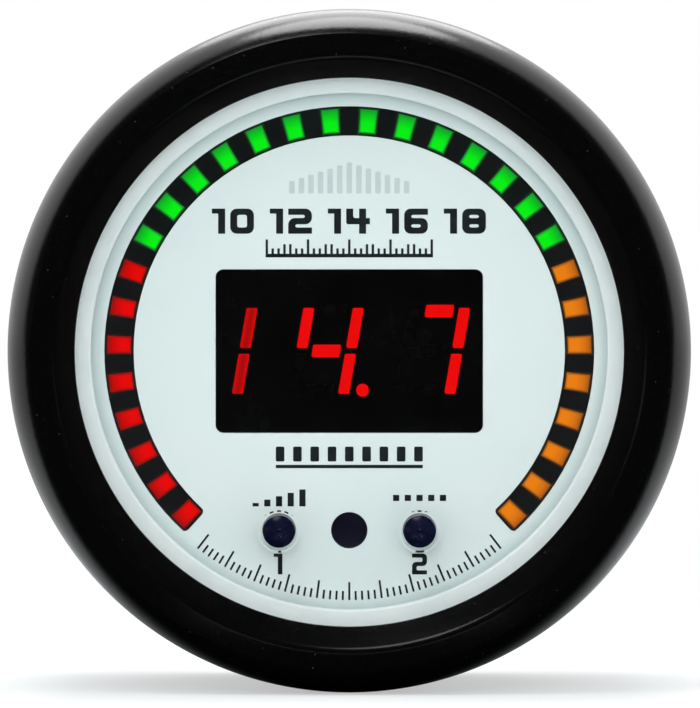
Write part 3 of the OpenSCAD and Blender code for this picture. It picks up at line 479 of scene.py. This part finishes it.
lathe(bm, rounded([
    (bezel["recess"], 0, 0),
    (bezel["outer"], 0, bezel["backChamfer"]),
    *shoulder,
    (bezel["crest"], bezel["height"], bezel["crestRound"]),
    (bezel["opening"], bezel["lip"] + bezel["edgeHeight"], bezel["edgeRound"]),
    (bezel["opening"], bezel["lip"], 0),
    (bezel["bore"], bezel["lip"], 0),
    (bezel["bore"], bezel["recessHeight"], 0),
    (bezel["recess"], bezel["recessHeight"], 0)], steps=10), bezel["segments"])
makePiece("bezelRing", bm, powderCoatedSteel, "gauge", ["bezel"], smoothAngle=25)

print("stage: studs")
# Each row of points follows the thread's helix: root, flank, crest, flank, as shares of the pitch
studs = {"x": 17.0, "radius": 2.0, "pitch": 0.7, "depth": 0.40, "end": -44.0, "start": -26.2, "chamfer": 0.4,
         "headRadius": 4.04, "headSides": 6, "headStart": -27.5, "headTop": -24.7, "segments": 40,
         "roots": (0.0, 0.12, 0.88), "crests": (0.42, 0.58)}
thread = sorted([(at, studs["depth"]) for at in studs["roots"]] + [(at, 0.0) for at in studs["crests"]])
bm = bmesh.new()
for side in (-1, 1):
    turnCount = int((studs["start"] - studs["end"]) / studs["pitch"]) + 2
    rows = []
    for turn in range(turnCount):
        for share, depth in thread:
            row = []
            for i in range(studs["segments"] + 1):
                z = studs["end"] + (turn - 1 + share + i / studs["segments"]) * studs["pitch"]
                low = max(z, studs["end"])
                tip = studs["radius"] - studs["chamfer"] + (low - studs["end"])
                r = min(studs["radius"] - depth, tip)
                a = 2 * math.pi * i / studs["segments"]
                row.append(bm.verts.new(place(side * studs["x"] + r * math.sin(a), r * math.cos(a),
                                              min(low, studs["start"]))))
            rows.append(row)
    for lower, upper in zip(rows, rows[1:]):
        for i in range(studs["segments"]):
            bm.faces.new((lower[i], lower[i + 1], upper[i + 1], upper[i]))
    corners = [2 * math.pi * k / studs["headSides"] for k in range(studs["headSides"])]
    head = [(side * studs["x"] + studs["headRadius"] * math.cos(a), studs["headRadius"] * math.sin(a))
            for a in corners]
    addFilm(bm, [head], studs["headStart"], studs["headTop"])
bmesh.ops.remove_doubles(bm, verts=bm.verts, dist=1e-6)
bmesh.ops.dissolve_degenerate(bm, edges=bm.edges, dist=1e-7)
bmesh.ops.holes_fill(bm, edges=[e for e in bm.edges if e.is_boundary], sides=0)
makePiece("threadedStuds", bm, zincPlatedSteel, "gauge", ["studs"], smoothAngle=40)

print("stage: buttons")
# Gate mark on each button: a small raised ring, a little off the middle, that catches the lamp
gate = {"x": 5.88, "y": -15.0, "right": 0.12, "down": 0.14, "radius": 0.32, "tube": 0.07, "top": 5.3,
        "sunk": 0.04, "rise": 0.015, "segments": 40, "steps": 10}
gateAbs = finish("gateAbs", {"dark": "0a0e2c", "light": "10143a", "cloudMm": 0.4, "rough": (0.1, 0.16),
                             "grainMm": 0.2, "reliefMm": 0.0005})
for name, body, side in (("leftGateMark", "left_key", -1), ("rightGateMark", "right_key", 1)):
    bm = bmesh.new()
    turns = [2 * math.pi * i / gate["steps"] for i in range(gate["steps"])]
    height = gate["top"] - gate["sunk"] + gate["rise"]
    lathe(bm, [(gate["radius"] + gate["tube"] * math.cos(t), height + gate["tube"] * math.sin(t))
               for t in turns], gate["segments"])
    middle = place(side * gate["x"] + gate["right"], gate["y"] - gate["down"], 0)
    bmesh.ops.translate(bm, verts=bm.verts, vec=middle)
    makePiece(name, bm, gateAbs, body)

print("stage: dial print")
# Ink films on the dial: plain numbers, rulers and ticks; x to the right, y up, from the dial's middle
ink = {"face": 1.89, "top": 1.92, "paleTop": 1.91}
# Parts of a numeral, as shares of its stroke's thickness; oneAt is a share of its width
numeralShape = {"stem": 1.12, "corner": 1.05, "inner": 0.35, "fourStem": 1.55, "oneAt": 0.42,
                "flagReach": 0.9, "flagHeight": 0.8}


def inkBlock(bm, x0, y0, x1, y1, corner=0.0, top=ink["top"]):
    # an upright rectangle of ink, corners rounded
    outline = rounded([(x0, y0, corner), (x1, y0, corner), (x1, y1, corner), (x0, y1, corner)], 4)
    addFilm(bm, [outline], ink["face"], top)


def numeral(sign, w, h, t):
    # loops of a wide numeral with strokes t thick: the outer loop first, then the holes
    s, r, q = t * numeralShape["stem"], t * numeralShape["corner"], t * numeralShape["inner"]
    m = (h - t) / 2
    hole = lambda y0, y1: [(s, y0, q), (w - s, y0, q), (w - s, y1, q), (s, y1, q)]
    shell = [(0, 0, r), (w, 0, r), (w, h, r), (0, h, r)]
    if sign == "0":
        loops = [shell, hole(t, h - t)]
    elif sign == "8":
        loops = [shell, hole(t, m), hole(m + t, h - t)]
    elif sign == "6":
        loops = [[(0, 0, r), (w, 0, r), (w, m + t, r), (s, m + t, q), (s, h - t, q), (w, h - t, 0),
                  (w, h, 0), (0, h, r)], hole(t, m)]
    elif sign == "2":
        loops = [[(0, 0, 0), (w, 0, 0), (w, t, 0), (s, t, q), (s, m, q), (w, m, r), (w, h, r), (0, h, 0),
                  (0, h - t, 0), (w - s, h - t, q), (w - s, m + t, q), (0, m + t, r)]]
    elif sign == "4":
        e = w - s * numeralShape["fourStem"]
        loops = [[(0, m, q), (e, m, 0), (e, 0, 0), (e + s, 0, 0), (e + s, m, 0), (w, m, 0), (w, m + t, 0),
                  (e + s, m + t, 0), (e + s, h, 0), (e, h, 0), (e, m + t, 0), (s, m + t, q),
                  (s, h, 0), (0, h, 0)]]
    else:
        x = w * numeralShape["oneAt"]
        flag, foot = x - s * numeralShape["flagReach"], h - t * numeralShape["flagHeight"]
        loops = [[(x, 0, 0), (x + s, 0, 0), (x + s, h, 0), (flag, h, 0), (flag, foot, 0), (x, foot, 0)]]
    return [rounded(loop, 5) for loop in loops]


def printNumber(bm, text, centreX, baseY, w, h, t, gap, narrowOne=0.62):
    widths = [w * (narrowOne if c == "1" else 1) for c in text]
    x = centreX - (sum(widths) + gap * (len(text) - 1)) / 2
    for c, width in zip(text, widths):
        start = x - (w - width) / 2 if c == "1" else x
        addFilm(bm, [[(p[0] + start, p[1] + baseY) for p in loop] for loop in numeral(c, w, h, t)],
                ink["face"], ink["top"])
        x += width + gap


scale = {"numbers": ["10", "12", "14", "16", "18"], "pitch": 4.85, "base": 9.83, "width": 1.98, "height": 2.1,
         "stroke": 0.52, "gap": 0.24}
ruler = {"from": -7.0, "to": 7.0, "ticks": 29, "base": 7.85, "line": 0.3, "long": 1.5, "middle": 1.1,
         "short": 0.75, "width": 0.2, "everyLong": 7}
bm = bmesh.new()
for i, text in enumerate(scale["numbers"]):
    printNumber(bm, text, (i - 2) * scale["pitch"], scale["base"], scale["width"], scale["height"],
                scale["stroke"], scale["gap"])
inkBlock(bm, ruler["from"], ruler["base"], ruler["to"], ruler["base"] + ruler["line"])
span = ruler["to"] - ruler["from"] - ruler["width"]
for i in range(ruler["ticks"]):
    x = ruler["from"] + ruler["width"] / 2 + span * i / (ruler["ticks"] - 1)
    step = i % ruler["everyLong"]
    reach = ruler["long"] if step == 0 else ruler["middle"] if step in (3, 4) else ruler["short"]
    inkBlock(bm, x - ruler["width"] / 2, ruler["base"] + ruler["line"], x + ruler["width"] / 2,
             ruler["base"] + reach)
# Plain rule under the display: a row of blocks over a line
rule = {"reach": 6.15, "low": -9.8, "lineWidth": 0.28, "blocks": 9, "blockHeight": 1.25, "blockWidth": 0.72,
        "corner": 0.12}
inkBlock(bm, -rule["reach"], rule["low"], rule["reach"], rule["low"] + rule["lineWidth"])
for i in range(rule["blocks"]):
    x = (i - (rule["blocks"] - 1) / 2) * (2 * rule["reach"] - rule["blockWidth"]) / (rule["blocks"] - 1)
    low = rule["low"] + 2 * rule["lineWidth"]
    inkBlock(bm, x - rule["blockWidth"] / 2, low, x + rule["blockWidth"] / 2, low + rule["blockHeight"],
             rule["corner"])
# Signs over the buttons: rising bars at the left, squares in a row at the right; plain numbers below
signs = {"x": 5.88, "low": -13.0, "height": 1.42, "count": 5, "pitch": 0.98, "width": 0.52,
         "squareShare": 0.36, "liftShare": 0.32}
buttonNumber = {"base": -18.7, "width": 1.25, "height": 1.75, "stroke": 0.34, "gap": 0.2}
for side in (-1, 1):
    for i in range(signs["count"]):
        x = side * signs["x"] + (i - (signs["count"] - 1) / 2) * signs["pitch"]
        reach = signs["height"] * ((i + 1) / signs["count"] if side < 0 else signs["squareShare"])
        low = signs["low"] + (0 if side < 0 else signs["height"] * signs["liftShare"])
        inkBlock(bm, x - signs["width"] / 2, low, x + signs["width"] / 2, low + reach)
    printNumber(bm, "1" if side < 0 else "2", side * signs["x"], buttonNumber["base"], buttonNumber["width"],
                buttonNumber["height"], buttonNumber["stroke"], buttonNumber["gap"], narrowOne=1)
# Graduation round the foot of the dial
ticks = {"inner": 19.35, "outer": 20.85, "short": 20.1, "half": 37.5, "count": 51, "everyLong": 5,
         "width": 0.17}
for i in range(ticks["count"]):
    a = math.radians(180 - ticks["half"] + 2 * ticks["half"] * i / (ticks["count"] - 1))
    along, side = Vector((math.sin(a), math.cos(a))), Vector((math.cos(a), -math.sin(a))) * ticks["width"] / 2
    low = ticks["inner"] if i % ticks["everyLong"] == 0 else ticks["short"]
    outer = ticks["outer"]
    addFilm(bm, [[along * low - side, along * low + side, along * outer + side, along * outer - side]],
            ink["face"], ink["top"])
makePiece("dialPrint", bm, screenInk, "gauge")

# Pale fan of bars at the head of the dial, tallest in the middle
bm = bmesh.new()
fan = {"count": 13, "pitch": 0.8, "low": 13.2, "height": 2.6, "fall": 0.6, "width": 0.46, "corner": 0.1}
half = (fan["count"] - 1) / 2
for i in range(fan["count"]):
    x = (i - half) * fan["pitch"]
    reach = fan["height"] * (1 - fan["fall"] * abs(i - half) / half)
    inkBlock(bm, x - fan["width"] / 2, fan["low"], x + fan["width"] / 2, fan["low"] + reach, fan["corner"],
             ink["paleTop"])
makePiece("palePrint", bm, paleInk, "gauge")

print("stage: floor, lights and camera")
# Distances in metres from the gauge: the sheet is pale under it, and white to the camera farther out
studio = {"floorHalf": 3.0, "sheet": "c4c8c9", "dark": "101011", "lift": 0.45, "mirrored": 0.6,
          "whiteFrom": 0.03, "whiteAt": 0.16, "clothAndShadeFrom": 0.008, "clothAndShadeAt": -0.004}
floorMesh = bmesh.new()
half, low = studio["floorHalf"], cadBox[0].z
corners = ((-1, -1), (1, -1), (1, 1), (-1, 1))
floorMesh.faces.new([floorMesh.verts.new((x * half, y * half, low)) for x, y in corners])
mesh = bpy.data.meshes.new("floor")
floorMesh.to_mesh(mesh)
floorMesh.free()
floor = bpy.data.objects.new("floor", mesh)
bpy.context.scene.collection.objects.link(floor)
# A pale sheet: the camera sees it near white, with the object's soft shadow. Polish and glass see a white
# sheet behind the gauge and a black cloth in front of it and under its foot, where the cloth is painted
# shade; soft light sees the plain sheet.
floorCard, tree = newMaterial("floorCard")
path = addNode(tree, "LightPath")
spot = addNode(tree, "TexCoord")
parts = addNode(tree, "SeparateXYZ", {"Vector": (spot, "Object")})
flatSpot = addNode(tree, "VectorMath", {0: (spot, "Object"), 1: (1, 1, 0)}, operation="MULTIPLY")
away = addNode(tree, "VectorMath", {0: (flatSpot, "Vector")}, operation="LENGTH")
mirrored = addNode(tree, "Math", {0: (path, "Is Glossy Ray"), 1: (path, "Is Transmission Ray")},
                   operation="MAXIMUM")
whiter = addNode(tree, "MapRange", {"Value": (away, "Value"), "From Min": studio["whiteFrom"],
                                    "From Max": studio["whiteAt"]}, interpolation_type="SMOOTHSTEP")
direct = addNode(tree, "Math", {0: (mirrored, "Value"), 1: (path, "Is Camera Ray")}, operation="MAXIMUM")
whiter = addNode(tree, "Math", {0: (whiter, "Result"), 1: (direct, "Value")}, operation="MULTIPLY")
# Painted shade: under the gauge's foot the cloth darkens what polish mirrors, standing in for the contact
# shadow
clothAndShade = addNode(tree, "MapRange", {"Value": (parts, "Y"), "From Min": studio["clothAndShadeFrom"],
                                   "From Max": studio["clothAndShadeAt"]}, interpolation_type="SMOOTHSTEP")
onClothAndShade = addNode(tree, "Math", {0: (clothAndShade, "Result"), 1: (mirrored, "Value")}, operation="MULTIPLY")
lifted = addNode(tree, "Math", {0: (path, "Is Camera Ray"), 1: studio["lift"]}, operation="MULTIPLY")
wall = addNode(tree, "Math", {0: (path, "Is Camera Ray"), 1: 1 - studio["mirrored"],
                              2: studio["mirrored"]}, operation="MULTIPLY_ADD")
pale = addNode(tree, "BsdfDiffuse", {"Color": linearColour(studio["sheet"])})
lift = addNode(tree, "Emission", {"Color": (1, 1, 1, 1), "Strength": (lifted, "Value")})
near = addNode(tree, "AddShader", {0: (pale, "BSDF"), 1: (lift, "Emission")})
white = addNode(tree, "Emission", {"Color": (1, 1, 1, 1), "Strength": (wall, "Value")})
shown = addNode(tree, "MixShader", {0: (whiter, "Value"), 1: (near, "Shader"), 2: (white, "Emission")})
# A small grey card lies on the cloth in front, and the crest of the bezel mirrors it
card = {"grey": "8e9090", "near": -0.03, "far": -0.055, "soft": 0.008, "half": 0.012}
ahead = addNode(tree, "MapRange", {"Value": (parts, "Y"), "From Min": card["near"] + card["soft"],
                                   "From Max": card["near"]}, interpolation_type="SMOOTHSTEP")
beyond = addNode(tree, "MapRange", {"Value": (parts, "Y"), "From Min": card["far"] - card["soft"],
                                    "From Max": card["far"]}, interpolation_type="SMOOTHSTEP")
sideways = addNode(tree, "Math", {0: (parts, "X")}, operation="ABSOLUTE")
within = addNode(tree, "MapRange", {"Value": (sideways, "Value"), "From Min": card["half"] + card["soft"],
                                    "From Max": card["half"]}, interpolation_type="SMOOTHSTEP")
onCard = addNode(tree, "Math", {0: (ahead, "Result"), 1: (beyond, "Result")}, operation="MULTIPLY")
onCard = addNode(tree, "Math", {0: (onCard, "Value"), 1: (within, "Result")}, operation="MULTIPLY")
clothAndShadeColour = addNode(tree, "Mix", {0: (onCard, "Value"), 6: linearColour(studio["dark"]),
                                    7: linearColour(card["grey"])}, data_type="RGBA")
clothAndShadeShader = addNode(tree, "BsdfDiffuse", {"Color": (clothAndShadeColour, 2)})
output(tree, addNode(tree, "MixShader", {0: (onClothAndShade, "Value"), 1: (shown, "Shader"), 2: (clothAndShadeShader, "BSDF")}),
       "Shader")
mesh.materials.append(floorCard)

# A white tent: metal and glass see its bright back wall, dim at the foot, and black cloth in front.
# Soft light reaches the dial from the front as well. The camera sees plain white.
# Each step is a share of the way and a level: for the wall the way goes from straight down to straight up,
# for the cards from straight in front to straight aside.
world = bpy.data.worlds.new("tent")
world.use_nodes = True
bpy.context.scene.world = world
tree = world.node_tree
tree.nodes.clear()
tent = {"ambient": 0.84, "behind": 0.16, "behindAt": 0.35, "below": 0.08, "belowFrom": -0.3, "belowTo": 0.1,
        "glare": 0.006, "wallFrom": 0.0, "wallAt": 0.24,
        "wallSteps": [(0.15, 0.0), (0.68, 1.0), (0.3, 0.35), (0.5, 0.75)],
        "leftCard": 0.28, "rightCard": 0.1, "cardHalf": 0.5, "cardTop": 0.4, "cardFull": 0.05,
        "cardSteps": [(0.2, 0.0), (0.75, 0.0), (0.36, 1.0), (0.58, 1.0)]}
spot = addNode(tree, "TexCoord")
parts = addNode(tree, "SeparateXYZ", {"Vector": (spot, "Generated")})
behind = addNode(tree, "MapRange", {"Value": (parts, "Y"), "From Min": 0.0, "From Max": tent["behindAt"]},
                 interpolation_type="SMOOTHSTEP")
above = addNode(tree, "MapRange", {"Value": (parts, "Z"), "From Min": tent["belowFrom"],
                                   "From Max": tent["belowTo"], "To Min": tent["below"]},
                interpolation_type="SMOOTHSTEP")
glow = addNode(tree, "Math", {0: (behind, "Result"), 1: tent["behind"], 2: tent["ambient"]},
               operation="MULTIPLY_ADD")
glow = addNode(tree, "Math", {0: (glow, "Value"), 1: (above, "Result")}, operation="MULTIPLY")
path = addNode(tree, "LightPath")
mirrored = addNode(tree, "Math", {0: (path, "Is Glossy Ray"), 1: (path, "Is Transmission Ray")},
                   operation="MAXIMUM")
side = addNode(tree, "MapRange", {"Value": (parts, "Y"), "From Min": tent["wallFrom"],
                                  "From Max": tent["wallAt"]}, interpolation_type="SMOOTHSTEP")
height = addNode(tree, "MapRange", {"Value": (parts, "Z"), "From Min": -1.0, "From Max": 1.0})
wall = addNode(tree, "ValToRGB", {"Fac": (height, "Result")}, stops=[
    (at, (level, level, level, 1)) for at, level in tent["wallSteps"]])
wall = addNode(tree, "Math", {0: (wall, "Color"), 1: (side, "Result")}, operation="MULTIPLY")
wall = addNode(tree, "Math", {0: (wall, "Value"), 1: tent["glare"]}, operation="MAXIMUM")
# Grey cards stand in front, at the sides and below, paler towards the left
forward = addNode(tree, "MapRange", {"Value": (parts, "Y"), "From Min": -1.0, "From Max": 0.0})
cards = addNode(tree, "ValToRGB", {"Fac": (forward, "Result")}, stops=[
    (at, (level, level, level, 1)) for at, level in tent["cardSteps"]])
top = addNode(tree, "MapRange", {"Value": (parts, "Z"), "From Min": tent["cardTop"],
                                 "From Max": tent["cardFull"]}, interpolation_type="SMOOTHSTEP")
paler = addNode(tree, "MapRange", {"Value": (parts, "X"), "From Min": -tent["cardHalf"],
                                   "From Max": tent["cardHalf"], "To Min": tent["leftCard"],
                                   "To Max": tent["rightCard"]})
cards = addNode(tree, "Math", {0: (cards, "Color"), 1: (top, "Result")}, operation="MULTIPLY")
cards = addNode(tree, "Math", {0: (cards, "Value"), 1: (paler, "Result")}, operation="MULTIPLY")
wall = addNode(tree, "Math", {0: (wall, "Value"), 1: (cards, "Value")}, operation="MAXIMUM")
level = addNode(tree, "Mix", {0: (mirrored, "Value"), 2: (glow, "Value"), 3: (wall, "Value")},
                data_type="FLOAT")
level = addNode(tree, "Mix", {0: (path, "Is Camera Ray"), 2: (level, 0), 3: 1.0}, data_type="FLOAT")
light = addNode(tree, "Background", {"Color": (1, 1, 1, 1), "Strength": (level, 0)})
addNode(tree, "OutputWorld", {"Surface": (light, "Background")})

# Round soft lamps, in metres and watts. The front lamp is cross polarised: it lights the dial and leaves no
# glare. The two overhead lamps draw the rim, and the small one draws the crescent on each button.
lampAim = Vector((0, -0.004, 0))
lamps = {"frontPolarised": {"at": (0.0, -0.20, 0.035), "size": 0.12, "watts": 0.12, "mirrored": False},
         "overhead": {"at": (0.0, 0.125, 0.33), "size": 0.22, "watts": 0.66, "mirrored": True},
         "overheadBehind": {"at": (0.0, 0.30, 0.22), "size": 0.22, "watts": 0.24, "mirrored": True},
         "crescent": {"at": (-0.07, -0.15, 0.30), "size": 0.17, "watts": 0.17, "mirrored": True}}
for name, lamp in lamps.items():
    data = bpy.data.lights.new(name, "AREA")
    data.shape, data.size, data.energy = "DISK", lamp["size"], lamp["watts"]
    holder = bpy.data.objects.new(name, data)
    holder.location = lamp["at"]
    holder.rotation_mode = "QUATERNION"
    holder.rotation_quaternion = (lampAim - holder.location).to_track_quat("-Z", "Y")
    holder.visible_camera = False
    holder.visible_glossy = holder.visible_transmission = lamp["mirrored"]
    bpy.context.scene.collection.objects.link(holder)

# Long lens from just above the dial's axis
shot = {"lens": 800.0, "sensor": 36.0, "elevation": 2.0, "height": 59.1, "aim": (0.06, -5.5, -0.13),
        "near": 0.01, "far": 20.0}
cameraData = bpy.data.cameras.new("camera")
cameraData.lens, cameraData.sensor_width = shot["lens"], shot["sensor"]
camera = bpy.data.objects.new("camera", cameraData)
bpy.context.scene.collection.objects.link(camera)
distance = shot["height"] * mm * shot["lens"] / cameraData.sensor_width
rise = math.radians(shot["elevation"])
back = Vector((0, -math.cos(rise), math.sin(rise)))
camera.location = Vector(shot["aim"]) * mm + back * distance
camera.rotation_mode = "QUATERNION"
camera.rotation_quaternion = (-back).to_track_quat("-Z", "Y")
cameraData.clip_start, cameraData.clip_end = shot["near"], shot["far"]
bpy.context.scene.camera = camera
bpy.context.scene.view_settings.view_transform = "Standard"
